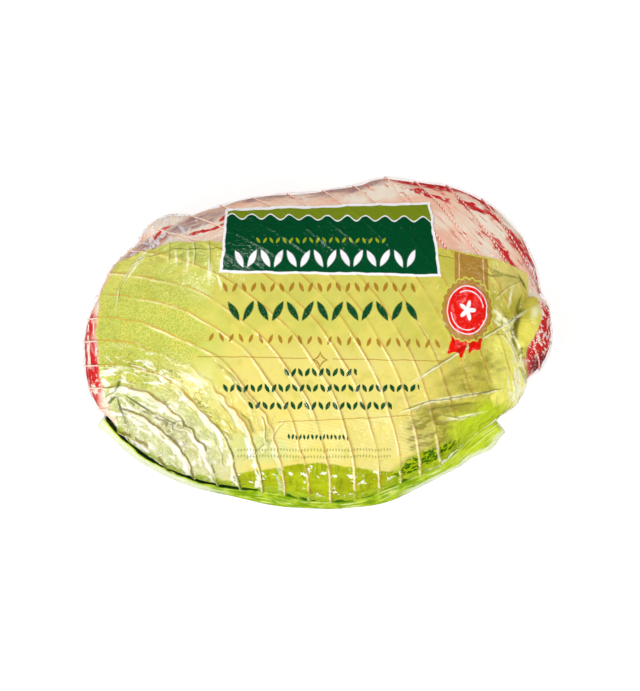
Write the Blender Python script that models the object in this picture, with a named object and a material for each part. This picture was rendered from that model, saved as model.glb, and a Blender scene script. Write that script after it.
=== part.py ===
"""A boneless leg of lamb, rolled in an elastic net and sealed tight in a film bag.

The sealed pack is one closed solid, lying on a flat of its own weight. The film
clings to every cord of the net, so each cord is a ridge that runs round the leg.
Lumps of fat and meat bulge at its ends, and the bag's welded hem stands off its
long front edge. X runs along the leg, Y across it, Z up, all in metres.
"""
import math

import bmesh
import bpy

# Driving sizes of the lump of meat.
CROWN_HEIGHT = 0.088
WIDEST_HEIGHT = 0.031
FOOT_SHARE = 0.62
DOME_POWER = 2.3

# Its outline where it is widest: a radius every 15 degrees, from +X towards +Y.
OUTLINE = (
    0.1075, 0.1150, 0.1150, 0.1065, 0.0935, 0.0820,
    0.0760, 0.0770, 0.0820, 0.0900, 0.1025, 0.1125,
    0.1105, 0.1130, 0.1050, 0.0935, 0.0830, 0.0775,
    0.0790, 0.0805, 0.0805, 0.0860, 0.0910, 0.1050,
)

# The net's cords lie on circles about one corner of the pack, seen from above.
NET_CENTRE = (-0.1055, -0.0778)
FIRST_CORD = 0.034
CORD_PITCH = 0.011
CORD_COUNT = 19
RIDGE_HALF_WIDTH = 0.0019
RIDGE_HEIGHT = 0.0013
RIDGE_FADE_HEIGHT = 0.010

# Points round each ring, and rings closed up to each end of the net.
STATIONS = 64
END_STEPS = (0.12, 0.45)

# Lumps: centre, half sizes along, across and up, and turn in plan in degrees.
LUMPS = {
    "fat_lump": ((-0.0715, 0.0470, 0.029), (0.0185, 0.0175, 0.021), 0),
    "shank_end": ((-0.0985, -0.0050, 0.034), (0.0350, 0.0190, 0.025), 90),
    "finger": ((0.1020, 0.0085, 0.041), (0.0180, 0.0125, 0.020), 62),
    "chump_end": ((0.1040, -0.0010, 0.029), (0.0180, 0.0128, 0.021), 72),
    "muscle_tip": ((0.0330, 0.0655, 0.036), (0.0200, 0.0170, 0.021), 12),
}
LUMP_SEGMENTS = 16
LUMP_RINGS = 10

# The hem: (bearing in degrees, how far its edge stands off the lump), left to right.
HEM_STANDOFF = (
    (-161, 0.0000), (-159, 0.0056), (-156, 0.0026), (-144, 0.0026),
    (-122, 0.0040), (-106, 0.0060), (-90, 0.0030), (-79, 0.0026),
    (-62, 0.0064), (-47, 0.0045), (-38, 0.0068), (-31, 0.0112),
    (-26, 0.0088), (-23, 0.0000),
)
HEM_STEPS = 56
HEM_ROOT = 0.007
HEM_ROOT_HEIGHT = 0.026
HEM_EDGE_HEIGHT = 0.014
HEM_WAVE = 0.0025
HEM_WAVE_COUNT = 5
HEM_THICKNESS = 0.0014

NODE_NAME = "pack"
FILM_TINT = (0.66, 0.61, 0.15, 1.0)
FILM_ROUGHNESS = 0.22


def clear_scene():
    for item in list(bpy.data.objects):
        bpy.data.objects.remove(item, do_unlink=True)


def film_material():
    material = bpy.data.materials.new("tinted_film")
    material.use_nodes = True
    shader = material.node_tree.nodes["Principled BSDF"]
    shader.inputs["Base Color"].default_value = FILM_TINT
    shader.inputs["Roughness"].default_value = FILM_ROUGHNESS
    shader.inputs["Metallic"].default_value = 0.0
    return material


def outline_radius(bearing):
    """Radius of the outline at a bearing in radians, on a smooth closed curve."""
    place = bearing / (2 * math.pi) * len(OUTLINE) % len(OUTLINE)
    first = int(place)
    t = place - first
    a, b, c, d = (OUTLINE[(first + k) % len(OUTLINE)] for k in (-1, 0, 1, 2))
    bend = 2 * a - 5 * b + 4 * c - d + t * (3 * (b - c) + d - a)
    return b + 0.5 * t * (c - a + t * bend)


def outline_share(x, y):
    """0 at the middle of the lump, 1 on its outline."""
    return math.hypot(x, y) / outline_radius(math.atan2(y, x))


def top_height(share):
    rise = max(0.0, 1 - share ** DOME_POWER)
    return WIDEST_HEIGHT + (CROWN_HEIGHT - WIDEST_HEIGHT) * math.sqrt(rise)


def bottom_height(share):
    out = min(1.0, max(0.0, share - FOOT_SHARE) / (1 - FOOT_SHARE))
    return WIDEST_HEIGHT * (1 - math.sqrt(1 - out * out))


def on_circle(radius, bearing):
    """Plan point at a bearing on a circle about the net's centre."""
    x = NET_CENTRE[0] + radius * math.cos(bearing)
    y = NET_CENTRE[1] + radius * math.sin(bearing)
    return x, y


def crossing(radius, inside, outside):
    """Bearing where a circle about the net's centre crosses the outline."""
    for _ in range(40):
        middle = (inside + outside) / 2
        if outline_share(*on_circle(radius, middle)) < 1:
            inside = middle
        else:
            outside = middle
    return inside


def arc_ends(radius):
    """Bearings where a circle about the net's centre enters and leaves the outline."""
    bearings = [math.radians(step) for step in range(-60, 151)]
    deepest = min(bearings, key=lambda b: outline_share(*on_circle(radius, b)))
    reach = math.radians(90)
    start = crossing(radius, deepest, deepest - reach)
    end = crossing(radius, deepest, deepest + reach)
    return start, end


def net_reach():
    """Least and greatest distance from the net's centre to the outline."""
    distances = []
    for step in range(720):
        bearing = math.radians(step / 2)
        size = outline_radius(bearing)
        dx = size * math.cos(bearing) - NET_CENTRE[0]
        dy = size * math.sin(bearing) - NET_CENTRE[1]
        distances.append(math.hypot(dx, dy))
    return min(distances), max(distances)


def net_rings():
    """(radius, ridge height) of every ring: three to a cord, closer at both ends."""
    near, far = net_reach()
    rings = []
    for cord in range(CORD_COUNT):
        radius = FIRST_CORD + cord * CORD_PITCH
        rings += [
            (radius - RIDGE_HALF_WIDTH, 0.0),
            (radius, RIDGE_HEIGHT),
            (radius + RIDGE_HALF_WIDTH, 0.0),
        ]
    first, last = rings[0][0], rings[-1][0]
    for step in END_STEPS:
        rings.append((near + (first - near) * step, 0.0))
        rings.append((far - (far - last) * step, 0.0))
    return sorted(rings)


def ring_point(radius, ends, station):
    """Point of a ring that goes over the top of the lump and back underneath."""
    turn = 2 * math.pi * station / STATIONS
    share_along = (1 - math.cos(turn)) / 2
    bearing = ends[0] + (ends[1] - ends[0]) * share_along
    x, y = on_circle(radius, bearing)
    share = min(1.0, outline_share(x, y))
    height = top_height(share) if turn <= math.pi else bottom_height(share)
    return x, y, height


def pole_point(radius):
    """Point of the outline where a circle about the net's centre only touches it."""
    ends = arc_ends(radius)
    x, y = on_circle(radius, (ends[0] + ends[1]) / 2)
    return x, y, WIDEST_HEIGHT


def raise_ridges(mesh, heights):
    """Lifts each cord's ring off the lump, but not where the pack lies on its flat."""
    mesh.normal_update()
    moves = []
    for vertex in mesh.verts:
        fade = min(1.0, vertex.co.z / RIDGE_FADE_HEIGHT)
        moves.append(vertex.normal * heights[vertex] * fade)
    for vertex, move in zip(mesh.verts, moves):
        vertex.co += move


def lump_mesh():
    """A globe whose parallels are laid along the net's rings."""
    rings = net_rings()
    steps = len(rings) + 1
    near, far = net_reach()
    mesh = bmesh.new()
    bmesh.ops.create_uvsphere(mesh, u_segments=STATIONS, v_segments=steps, radius=1)
    ends = [arc_ends(radius) for radius, _ in rings]
    heights = {}
    for vertex in mesh.verts:
        parallel = round(math.acos(max(-1.0, min(1.0, vertex.co.z))) / math.pi * steps)
        turn = math.atan2(vertex.co.y, vertex.co.x) / (2 * math.pi)
        station = round(turn * STATIONS) % STATIONS
        if parallel in (0, steps):
            vertex.co = pole_point(near if parallel == 0 else far)
            heights[vertex] = 0.0
            continue
        radius, ridge = rings[parallel - 1]
        vertex.co = ring_point(radius, ends[parallel - 1], station)
        heights[vertex] = ridge
    bmesh.ops.recalc_face_normals(mesh, faces=mesh.faces)
    raise_ridges(mesh, heights)
    return mesh


def make_object(name, mesh, material):
    """Turns a bmesh into an object of one material, shaded smooth."""
    data = bpy.data.meshes.new(name)
    mesh.to_mesh(data)
    mesh.free()
    data.materials.append(material)
    data.shade_smooth()
    item = bpy.data.objects.new(name, data)
    bpy.context.scene.collection.objects.link(item)
    return item


def make_lump(name, centre, half_sizes, turn, material):
    mesh = bmesh.new()
    bmesh.ops.create_uvsphere(
        mesh, u_segments=LUMP_SEGMENTS, v_segments=LUMP_RINGS, radius=1
    )
    bmesh.ops.scale(mesh, vec=half_sizes, verts=mesh.verts)
    item = make_object(name, mesh, material)
    item.location = centre
    item.rotation_euler.z = math.radians(turn)
    return item


def hem_standoff(bearing):
    """How far the hem's edge stands off the lump at a bearing in degrees."""
    for (start, low), (end, high) in zip(HEM_STANDOFF, HEM_STANDOFF[1:]):
        if bearing <= end:
            t = (bearing - start) / (end - start)
            ease = t * t * (3 - 2 * t)
            return low + (high - low) * ease
    return HEM_STANDOFF[-1][1]


def make_hem(material):
    """A welded strip of film, bent round the front of the lump and waving a little."""
    mesh = bmesh.new()
    bmesh.ops.create_grid(mesh, x_segments=HEM_STEPS, y_segments=2, size=1)
    first, last = HEM_STANDOFF[0][0], HEM_STANDOFF[-1][0]
    for vertex in mesh.verts:
        along = (vertex.co.x + 1) / 2
        across = (vertex.co.y + 1) / 2
        degrees = first + (last - first) * along
        bearing = math.radians(degrees)
        reach = -HEM_ROOT + (HEM_ROOT + hem_standoff(degrees)) * across
        size = outline_radius(bearing) + reach
        wave = HEM_WAVE * across * math.sin(2 * math.pi * HEM_WAVE_COUNT * along)
        drop = (HEM_EDGE_HEIGHT - HEM_ROOT_HEIGHT) * across
        height = HEM_ROOT_HEIGHT + drop + wave
        vertex.co = (size * math.cos(bearing), size * math.sin(bearing), height)
    item = make_object("hem", mesh, material)
    thickness = item.modifiers.new("thickness", "SOLIDIFY")
    thickness.thickness = HEM_THICKNESS
    thickness.offset = 0
    return item


def join_to(pack, piece):
    """Unites a piece with the pack and hides the piece itself."""
    join = pack.modifiers.new("join_" + piece.name, "BOOLEAN")
    join.operation = "UNION"
    join.solver = "EXACT"
    join.object = piece
    piece.hide_render = True
    piece.display_type = "WIRE"


clear_scene()
tinted_film = film_material()
pack = make_object(NODE_NAME, lump_mesh(), tinted_film)
for lump_name, (lump_centre, lump_half_sizes, lump_turn) in LUMPS.items():
    join_to(pack, make_lump(lump_name, lump_centre, lump_half_sizes, lump_turn, tinted_film))
join_to(pack, make_hem(tinted_film))
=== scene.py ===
import math
import random

import bmesh
import bpy
import numpy as np
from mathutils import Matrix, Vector, noise


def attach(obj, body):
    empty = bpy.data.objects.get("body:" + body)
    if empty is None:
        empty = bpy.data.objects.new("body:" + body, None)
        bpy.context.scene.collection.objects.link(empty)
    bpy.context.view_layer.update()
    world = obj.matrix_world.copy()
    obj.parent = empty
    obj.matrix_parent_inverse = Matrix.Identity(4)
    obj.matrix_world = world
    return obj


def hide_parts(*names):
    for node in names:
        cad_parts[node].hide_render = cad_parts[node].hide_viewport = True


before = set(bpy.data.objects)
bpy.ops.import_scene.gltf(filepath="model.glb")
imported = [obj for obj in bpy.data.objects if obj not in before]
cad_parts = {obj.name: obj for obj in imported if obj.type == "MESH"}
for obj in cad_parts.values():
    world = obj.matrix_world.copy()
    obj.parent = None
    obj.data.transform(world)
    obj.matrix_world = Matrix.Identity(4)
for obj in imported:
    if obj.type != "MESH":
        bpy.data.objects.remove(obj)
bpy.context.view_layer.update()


# The leg of lamb: a boneless joint of raw meat, rolled with its fat outwards. Red muscle,
# cream and pink fat and purple-grey silver skin show on it. It was rolled by hand, netted
# and sealed, so it fills its bag, and lumps of it bulge at both ends.
MM = 0.001
CROWN_HEIGHT = 88 * MM
WIDEST_HEIGHT = 31 * MM
FOOT_SHARE = 0.62
DOME_POWER = 2.3
OUTLINE = MM * np.array((
    107.5, 115.0, 115.0, 106.5, 93.5, 82.0, 76.0, 77.0, 82.0, 90.0, 102.5, 112.5,
    110.5, 113.0, 105.0, 93.5, 83.0, 77.5, 79.0, 80.5, 80.5, 86.0, 91.0, 105.0,
))
HEART = np.array((0.0, 0.0, 34.0)) * MM
WELD_DISTANCE = 1e-6
STRAY = 1.8 * MM

# Lumps: centre, half sizes along, across and up in millimetres, turn in plan in degrees.
LUMPS = {
    "fat_lump": ((-71.5, 47.0, 29.0), (18.5, 17.5, 21.0), 0),
    "shank_end": ((-98.5, -5.0, 34.0), (35.0, 19.0, 25.0), 90),
    "finger": ((102.0, 8.5, 41.0), (18.0, 12.5, 20.0), 62),
    "chump_end": ((104.0, -1.0, 29.0), (18.0, 12.8, 21.0), 72),
    "muscle_tip": ((33.0, 65.5, 36.0), (20.0, 17.0, 21.0), 12),
}

# The rings of every skin follow the net's cords, which circle one corner of the pack.
NET_CENTRE = np.array((-105.5, -77.8)) * MM
CORD_RADII = MM * np.array((
    34, 45, 56, 67, 78, 89, 101, 112, 124, 136,
    147, 157, 167, 177, 188, 199, 210, 221, 231, 240,
))
MEAT_RING_GAP = 1.9 * MM
MEAT_STATIONS = 300
MEAT_INSET = 1.0 * MM


def smooth_step(low, high, value):
    t = np.clip((value - low) / (high - low), 0, 1)
    return t * t * (3 - 2 * t)


def outline_radius(bearing):
    """Radius of the outline at bearings in radians, on a smooth closed curve."""
    count = len(OUTLINE)
    place = bearing / (2 * math.pi) * count % count
    first = np.floor(place).astype(int)
    t = place - first
    a, b, c, d = (OUTLINE[(first + k) % count] for k in (-1, 0, 1, 2))
    return b + 0.5 * t * (c - a + t * (2 * a - 5 * b + 4 * c - d + t * (3 * (b - c) + d - a)))


def outline_share(x, y):
    """0 at the middle of the lump, 1 on its outline."""
    return np.hypot(x, y) / outline_radius(np.arctan2(y, x))


def on_circle(radius, bearing):
    x = NET_CENTRE[0] + radius * np.cos(bearing)
    y = NET_CENTRE[1] + radius * np.sin(bearing)
    return x, y


def strayed(x, y):
    """Cords stray a little from true circles, the most where the film is slackest."""
    share = outline_share(x, y)
    loose = 0.25 + 0.75 * smooth_step(0, -0.09, x + y)
    wave = np.sin(x / 0.0083 + y / 0.021 + 1) + np.sin(y / 0.0061 - x / 0.015)
    kink = 0.4 + 0.9 * np.sin(x / 0.0074 + y / 0.0052)
    wave += kink * loose ** 3 * np.sin(x / 0.0031 - y / 0.0022 + 3 * np.sin(y / 0.011))
    shift = STRAY * loose * wave / 2 * np.clip(1 - share ** 4, 0, 1)
    out_x, out_y = x - NET_CENTRE[0], y - NET_CENTRE[1]
    reach = np.hypot(out_x, out_y)
    return x + shift * out_x / reach, y + shift * out_y / reach


def circle_spans(radii):
    """Bearings where circles about the net's centre enter and leave the outline."""
    tries = np.radians(np.arange(-60, 151))
    shares = outline_share(*on_circle(radii[:, None], tries[None]))
    deepest = tries[shares.argmin(axis=1)]
    ends = []
    for side in (-1, 1):
        inside, outside = deepest, deepest + side * math.radians(90)
        for _ in range(40):
            middle = (inside + outside) / 2
            within = outline_share(*on_circle(radii, middle)) < 1
            inside = np.where(within, middle, inside)
            outside = np.where(within, outside, middle)
        ends.append(inside)
    return ends


def net_reach():
    """Least and greatest distance from the net's centre to the outline."""
    bearings = np.radians(np.arange(0, 360, 0.25))
    sizes = outline_radius(bearings)
    x = sizes * np.cos(bearings) - NET_CENTRE[0]
    y = sizes * np.sin(bearings) - NET_CENTRE[1]
    distances = np.hypot(x, y)
    return distances.min(), distances.max()


def smooth_max(a, b, blend):
    """The larger of two lengths, rounded over where they meet."""
    near = np.clip(blend - np.abs(a - b), 0, None) / blend
    return np.maximum(a, b) + near * near * blend / 4


def lump_reach(rays, centre, half_sizes, turn):
    """Distance from the heart to a lump's far side along unit rays, 0 where they miss."""
    c, s = math.cos(math.radians(turn)), math.sin(math.radians(turn))
    spin = np.array(((c, s, 0), (-s, c, 0), (0, 0, 1)))
    squeeze = spin / np.array(half_sizes)[:, None]
    start = squeeze @ (HEART / MM - np.array(centre))
    way = rays @ squeeze.T
    a = (way * way).sum(axis=1)
    b = way @ start
    inner = b * b - a * (start @ start - 1)
    return MM * np.where(inner > 0, (np.sqrt(np.abs(inner)) - b) / a, 0)


def bulge(points, blend):
    """Pushes the skin of the plain dome out over the lumps, which it spans smoothly."""
    arms = points - HEART
    reach = np.linalg.norm(arms, axis=1)
    rays = arms / reach[:, None]
    for centre, half_sizes, turn in LUMPS.values():
        reach = smooth_max(reach, lump_reach(rays, centre, half_sizes, turn), blend)
    return HEART + rays * reach[:, None]


def skin_mesh(name, radii, stations, over, blend):
    """A sheet rolled into a closed globe, its parallels on circles about the net's centre.

    Of the stations round each ring, the first ones go over the top, from the front edge
    to the back one, and the rest come back underneath.
    """
    steps = len(radii) + 1
    globe = bmesh.new()
    bmesh.ops.create_grid(globe, x_segments=stations, y_segments=steps, size=1)
    for vertex in globe.verts:
        turn, tilt = vertex.co.x * math.pi, vertex.co.y * math.pi / 2
        flat = math.cos(tilt)
        vertex.co = (flat * math.cos(turn), flat * math.sin(turn), math.sin(tilt))
    bmesh.ops.remove_doubles(globe, verts=globe.verts, dist=WELD_DISTANCE)
    bmesh.ops.recalc_face_normals(globe, faces=globe.faces)
    skin = bpy.data.meshes.new(name)
    globe.to_mesh(skin)
    globe.free()
    unit = read_points(skin)
    parallel = np.rint(np.arccos(np.clip(unit[:, 2], -1, 1)) / math.pi * steps).astype(int)
    turns = np.arctan2(unit[:, 1], unit[:, 0]) / (2 * math.pi)
    station = np.rint(turns * stations).astype(int) % stations
    way = np.where(station <= over, station / over, (stations - station) / (stations - over))
    near, far = net_reach()
    circles = np.concatenate(((near + 1e-5,), radii, (far - 1e-5,)))
    start, end = circle_spans(circles)
    bearing = start[parallel] + (end - start)[parallel] * (1 - np.cos(math.pi * way)) / 2
    pole = (parallel == 0) | (parallel == steps)
    bearing = np.where(pole, (start + end)[parallel] / 2, bearing)
    x, y = strayed(*on_circle(circles[parallel], bearing))
    share = np.clip(outline_share(x, y), 0, 1)
    top = WIDEST_HEIGHT + (CROWN_HEIGHT - WIDEST_HEIGHT) * np.sqrt(1 - share ** DOME_POWER)
    out = np.clip((share - FOOT_SHARE) / (1 - FOOT_SHARE), 0, 1)
    low = WIDEST_HEIGHT * (1 - np.sqrt(1 - out * out))
    points = np.stack((x, y, np.where(station <= over, top, low)), axis=1)
    write_points(skin, bulge(points, blend))
    return skin, circles[parallel]


def read_points(mesh):
    points = np.empty(len(mesh.vertices) * 3)
    mesh.vertices.foreach_get("co", points)
    return points.reshape(-1, 3)


def write_points(mesh, points):
    mesh.vertices.foreach_set("co", points.ravel())
    mesh.update()


def read_normals(mesh):
    normals = np.empty(len(mesh.vertices) * 3)
    mesh.vertex_normals.foreach_get("vector", normals)
    return normals.reshape(-1, 3)


def noise_at(points, size, seed, octaves=2):
    """Smooth noise from -1 to 1 at points, with lumps about that size across."""
    shift = Vector((seed * 17.3, seed * 5.1, seed * 29.7))
    places = (points / size).tolist()
    return np.array([noise.fractal(Vector(p) + shift, 1.0, 2.0, octaves) for p in places])


def make_piece(name, mesh, paint):
    """A smooth object of one material that rides on the pack."""
    mesh.materials.clear()
    mesh.materials.append(paint)
    mesh.shade_smooth()
    piece = bpy.data.objects.new(name, mesh)
    bpy.context.scene.collection.objects.link(piece)
    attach(piece, "root")
    return piece


def linear(red, green, blue):
    """A colour given as 0 to 255 screen values, in the linear values that a shader takes."""
    shares = (value / 255 for value in (red, green, blue))
    return tuple(v / 12.92 if v < 0.04045 else ((v + 0.055) / 1.055) ** 2.4 for v in shares)


class Value:
    """A number that varies over a surface. Sums on it add Math nodes to its paint."""

    def __init__(self, paint, socket):
        self.paint = paint
        self.socket = socket

    def math(self, operation, *others):
        return self.paint.math(operation, self, *others)

    def __add__(self, other):
        return self.math("ADD", other)

    def __radd__(self, other):
        return self.math("ADD", other)

    def __sub__(self, other):
        return self.math("SUBTRACT", other)

    def __rsub__(self, other):
        return self.paint.math("SUBTRACT", other, self)

    def __mul__(self, other):
        return self.math("MULTIPLY", other)

    def __rmul__(self, other):
        return self.math("MULTIPLY", other)

    def __truediv__(self, other):
        return self.math("DIVIDE", other)

    def __rtruediv__(self, other):
        return self.paint.math("DIVIDE", other, self)

    def __pow__(self, other):
        return self.math("POWER", other)

    def __neg__(self):
        return self.math("MULTIPLY", -1.0)

    def __abs__(self):
        return self.math("ABSOLUTE")

    def least(self, other):
        return self.math("MINIMUM", other)

    def most(self, other):
        return self.math("MAXIMUM", other)

    def clamped(self):
        return self.paint.math("ADD", self, 0.0, clamp=True)


class Paint:
    """A material made of nodes. node() adds any node, and what it returns is a Value."""

    def __init__(self, name):
        self.material = bpy.data.materials.new(name)
        self.material.use_nodes = True
        self.tree = self.material.node_tree
        self.shader = self.tree.nodes["Principled BSDF"]
        self.end = self.tree.nodes["Material Output"]

    def node(self, kind, settings=(), inputs=(), out=0):
        node = self.tree.nodes.new(kind)
        for key, value in dict(settings).items():
            setattr(node, key, value)
        for key, value in dict(inputs).items():
            self.feed(node.inputs[key], value)
        return Value(self, node.outputs[out])

    def feed(self, socket, value):
        if isinstance(value, Value):
            self.tree.links.new(value.socket, socket)
        elif socket.type == "RGBA":
            socket.default_value = tuple(value)[:3] + (1.0,)
        else:
            socket.default_value = value

    def set(self, **inputs):
        for key, value in inputs.items():
            self.feed(self.shader.inputs[key.replace("_", " ")], value)

    def math(self, operation, *values, clamp=False):
        settings = {"operation": operation, "use_clamp": clamp}
        return self.node("ShaderNodeMath", settings, enumerate(values))

    def parts(self, vector):
        split = self.node("ShaderNodeSeparateXYZ", (), {0: vector})
        return [Value(self, split.socket.node.outputs[k]) for k in range(3)]

    def joined(self, x, y, z=0.0):
        return self.node("ShaderNodeCombineXYZ", (), {0: x, 1: y, 2: z})

    def place(self):
        """Object coordinates in millimetres, as three Values."""
        spot = self.node("ShaderNodeTexCoord", (), (), "Object")
        return [part / MM for part in self.parts(spot)]

    def mix(self, share, first, second):
        inputs = {0: share, 6: first, 7: second}
        return self.node("ShaderNodeMix", {"data_type": "RGBA"}, inputs, 2)

    def blend(self, share, first, second):
        """Two numbers mixed."""
        return first + (second - first) * share

    def ramp(self, value, low, high):
        """0 below low, 1 above high, smooth between."""
        settings = {"interpolation_type": "SMOOTHSTEP"}
        return self.node("ShaderNodeMapRange", settings, {0: value, 1: low, 2: high})

    def fall(self, value, low, high):
        """1 below low, 0 above high, smooth between."""
        settings = {"interpolation_type": "SMOOTHSTEP"}
        return self.node("ShaderNodeMapRange", settings, {0: value, 1: low, 2: high, 3: 1.0, 4: 0.0})

    def turned(self, spot, centre, half_sizes, turn):
        """A place seen from an oval: x and y are 1 at the ends of its half sizes."""
        inputs = {"Vector": spot, "Center": (*centre, 0), "Angle": -math.radians(turn)}
        spun = self.node("ShaderNodeVectorRotate", {"rotation_type": "Z_AXIS"}, inputs)
        shares = [1 / half for half in half_sizes]
        start = [-middle * share for middle, share in zip(centre, shares)]
        inputs = {0: spun, 1: (*shares, 0), 2: (*start, 0)}
        return self.node("ShaderNodeVectorMath", {"operation": "MULTIPLY_ADD"}, inputs)

    def dot(self, vector, way):
        inputs = {0: vector, 1: way}
        return self.node("ShaderNodeVectorMath", {"operation": "DOT_PRODUCT"}, inputs, "Value")

    def length(self, vector):
        return self.node("ShaderNodeVectorMath", {"operation": "LENGTH"}, {0: vector}, "Value")

    def grain(self, x, y, z, size, detail=2.0, rough=0.5, warp=0.0):
        """Noise from 0 to 1 with lumps about that many millimetres across."""
        inputs = {"Vector": self.joined(x, y, z), "Scale": 1 / size, "Detail": detail,
                  "Roughness": rough, "Distortion": warp}
        return self.node("ShaderNodeTexNoise", (), inputs, "Fac")

    def patch(self, x, y, centre, half_sizes, turn=0.0, soft=0.5):
        """1 in the middle of a soft oval, 0 from its rim outwards."""
        size = self.length(self.turned(self.joined(x, y), centre, half_sizes, turn))
        return self.fall(size, 1 - soft, 1.0)


def between(low, high, gap):
    """Evenly spread numbers from low up to just before high, at most a gap apart."""
    count = max(1, math.ceil((high - low) / gap))
    return [low + (high - low) * k / count for k in range(count)]


def even_rings(gap):
    near, far = net_reach()
    return np.array(between(near, far, gap)[1:])


FAT_PINK = linear(255, 204, 176)
FAT_CREAM = linear(255, 240, 220)
FAT_PEACH = linear(250, 190, 160)
MUSCLE_RED = linear(218, 12, 24)
MUSCLE_PINK = linear(214, 44, 44)
MUSCLE_DARK = linear(126, 8, 28)
SILVER_SKIN = linear(160, 112, 124)
SILVER_PALE = linear(214, 180, 160)

# Where the kinds of tissue lie: centre, half sizes in millimetres and turn in degrees.
MUSCLE_PATCHES = (
    ((56, 80.0), (34, 5.0), -9),
    ((82, 72), (14, 4.0), -36),
    ((55, 73), (14, 1.8), -18),
    ((76, 68), (11, 1.6), -25),
    ((88, 62), (9, 1.4), -38),
    ((99, 49), (17, 2.4), -56),
    ((92, 44), (12, 1.8), -48),
    ((109, 36), (20, 4.6), -68),
    ((-118, 10), (9, 22), 0),
    ((-117, -16), (12, 30), 0),
    ((119, 4), (14, 22), 15),
    ((114, -8), (15, 18), 15),
    ((-58, 54.5), (8, 0.9), 12),
    ((-50, 57), (5, 0.9), 24),
    ((-47, 61.5), (2.4, 1.2), 40),
    ((-80, 53), (6, 0.8), 50),
)
CREAM_PATCHES = (
    ((-78, 60), (17, 10), 10),
    ((97, 60), (10, 6), -40),
    ((105, 50), (4, 9), 20),
    ((-62, 55), (14, 5), 20),
    ((-116, -37), (7, 5), 0),
    ((30, 73), (30, 4), 8),
)
SILVER_PATCHES = (
    ((-84, 48), (22, 4.2), 33),
    ((-60, 60), (22, 4.2), 22),
    ((-26, 74), (34, 4.5), 6),
    ((16, 78), (26, 4.5), 12),
    ((112, -19), (12, 7), 0),
)
VEIN_PATCHES = (
    ((-80, 55), (14, 9), 20),
    ((80, 60), (36, 18), -44),
    ((104, 40), (18, 12), -64),
    ((60, 72), (34, 9), -14),
    ((0, 76), (56, 6), 4),
)


def meat_paint():
    paint = Paint("raw_lamb")
    x, y, z = paint.place()
    broad = paint.grain(x, y, z, 24, 3, 0.55)
    lump = paint.grain(x, y, z, 6, 3, 0.6)
    fine = paint.grain(x, y, z, 1.5, 3, 0.65)
    wander = (lump - 0.5) * 8
    slanted = paint.grain((x - y) * 0.16, (x + y) * 1.0, z * 0.5, 2.6, 4, 0.62, 0.5)
    rising = paint.grain((x + y * 0.5) * 0.16, (y - x * 0.5) * 1.0, z * 0.5, 2.4, 4, 0.62, 0.5)
    upright = paint.grain(x * 1.0, y * 0.16, z * 0.4, 2.2, 4, 0.62, 0.5)
    strand = paint.blend(paint.ramp(x, -30, -10), rising, slanted)
    strand = paint.blend(paint.ramp(x - y * 0.4, -110, -100), upright, strand)
    colour = paint.mix(paint.ramp(broad, 0.35, 0.65), FAT_PINK, FAT_CREAM)
    colour = paint.mix(paint.ramp(strand, 0.45, 0.6) * 0.5, colour, FAT_PEACH)
    below = paint.fall(z, 30, 40)
    red = paint.ramp(broad + (lump - 0.5) * 0.5, 0.56, 0.68) * below
    silver = paint.ramp(paint.grain(y, z, x, 30, 2), 0.60, 0.74) * below * (1 - red)
    for centre, half_sizes, turn in SILVER_PATCHES:
        silver = silver.most(paint.patch(x + wander, y + wander, centre, half_sizes, turn, 0.5))
    for centre, half_sizes, turn in CREAM_PATCHES:
        cream = paint.patch(x + wander, y - wander, centre, half_sizes, turn, 0.6)
        red = red * (1 - cream)
        colour = paint.mix(cream, colour, FAT_CREAM)
    for centre, half_sizes, turn in MUSCLE_PATCHES:
        red = red.most(paint.patch(x + wander * 0.6, y + wander * 0.5, centre, half_sizes, turn, 0.4))
    vein = None
    for centre, half_sizes, turn in VEIN_PATCHES:
        area = paint.patch(x + wander, y + wander, centre, half_sizes, turn, 0.5)
        vein = area if vein is None else vein.most(area)
    vein = vein * paint.ramp(strand, 0.565, 0.62) * paint.ramp(lump, 0.42, 0.54)
    muscle = paint.mix(paint.ramp(fine + strand * 0.6, 0.78, 0.95), MUSCLE_RED, MUSCLE_PINK)
    muscle = paint.mix(paint.ramp(lump, 0.58, 0.76) * 0.8, muscle, MUSCLE_DARK)
    streaked = 0.38 + 0.05 * paint.ramp(abs(x), 98, 108)
    muscle = paint.mix((paint.fall(strand - streaked, 0.0, 0.05)) * 0.95, muscle, FAT_CREAM)
    silver_look = paint.mix(paint.ramp(strand, 0.4, 0.6), SILVER_SKIN, SILVER_PALE)
    colour = paint.mix(silver * 0.85, colour, silver_look)
    bruised = paint.patch(x + wander * 0.4, y, (111, -11), (8, 8), 0, 0.6)
    muscle = paint.mix(bruised * 0.7, muscle, linear(96, 20, 44))
    colour = paint.mix(red, colour, muscle)
    colour = paint.mix(vein * 0.85, colour, MUSCLE_RED)
    relief = fine * 0.35 + lump * 0.6 + strand * 0.8
    bump = paint.node("ShaderNodeBump", (), {"Strength": 0.6, "Distance": 0.8 * MM, "Height": relief})
    paint.set(Base_Color=colour, Roughness=0.3 + 0.2 * fine, Normal=bump)
    paint.set(Subsurface_Weight=0.1, Subsurface_Scale=2 * MM)
    return paint.material


meat_mesh, _ = skin_mesh("lamb_leg", even_rings(MEAT_RING_GAP), MEAT_STATIONS, 190, 1.0 * MM)
meat_points = read_points(meat_mesh)
meat_swell = 0.7 * MM * noise_at(meat_points, 16 * MM, 1) + 0.35 * MM * noise_at(meat_points, 5 * MM, 2)
meat_points -= read_normals(meat_mesh) * (MEAT_INSET - np.minimum(meat_swell, 0.45 * MM))[:, None]
meat_points[:, 2] = np.maximum(meat_points[:, 2], 0.4 * MM)
write_points(meat_mesh, meat_points)
leg = make_piece("lamb_leg", meat_mesh, meat_paint())
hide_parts("pack")


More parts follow.
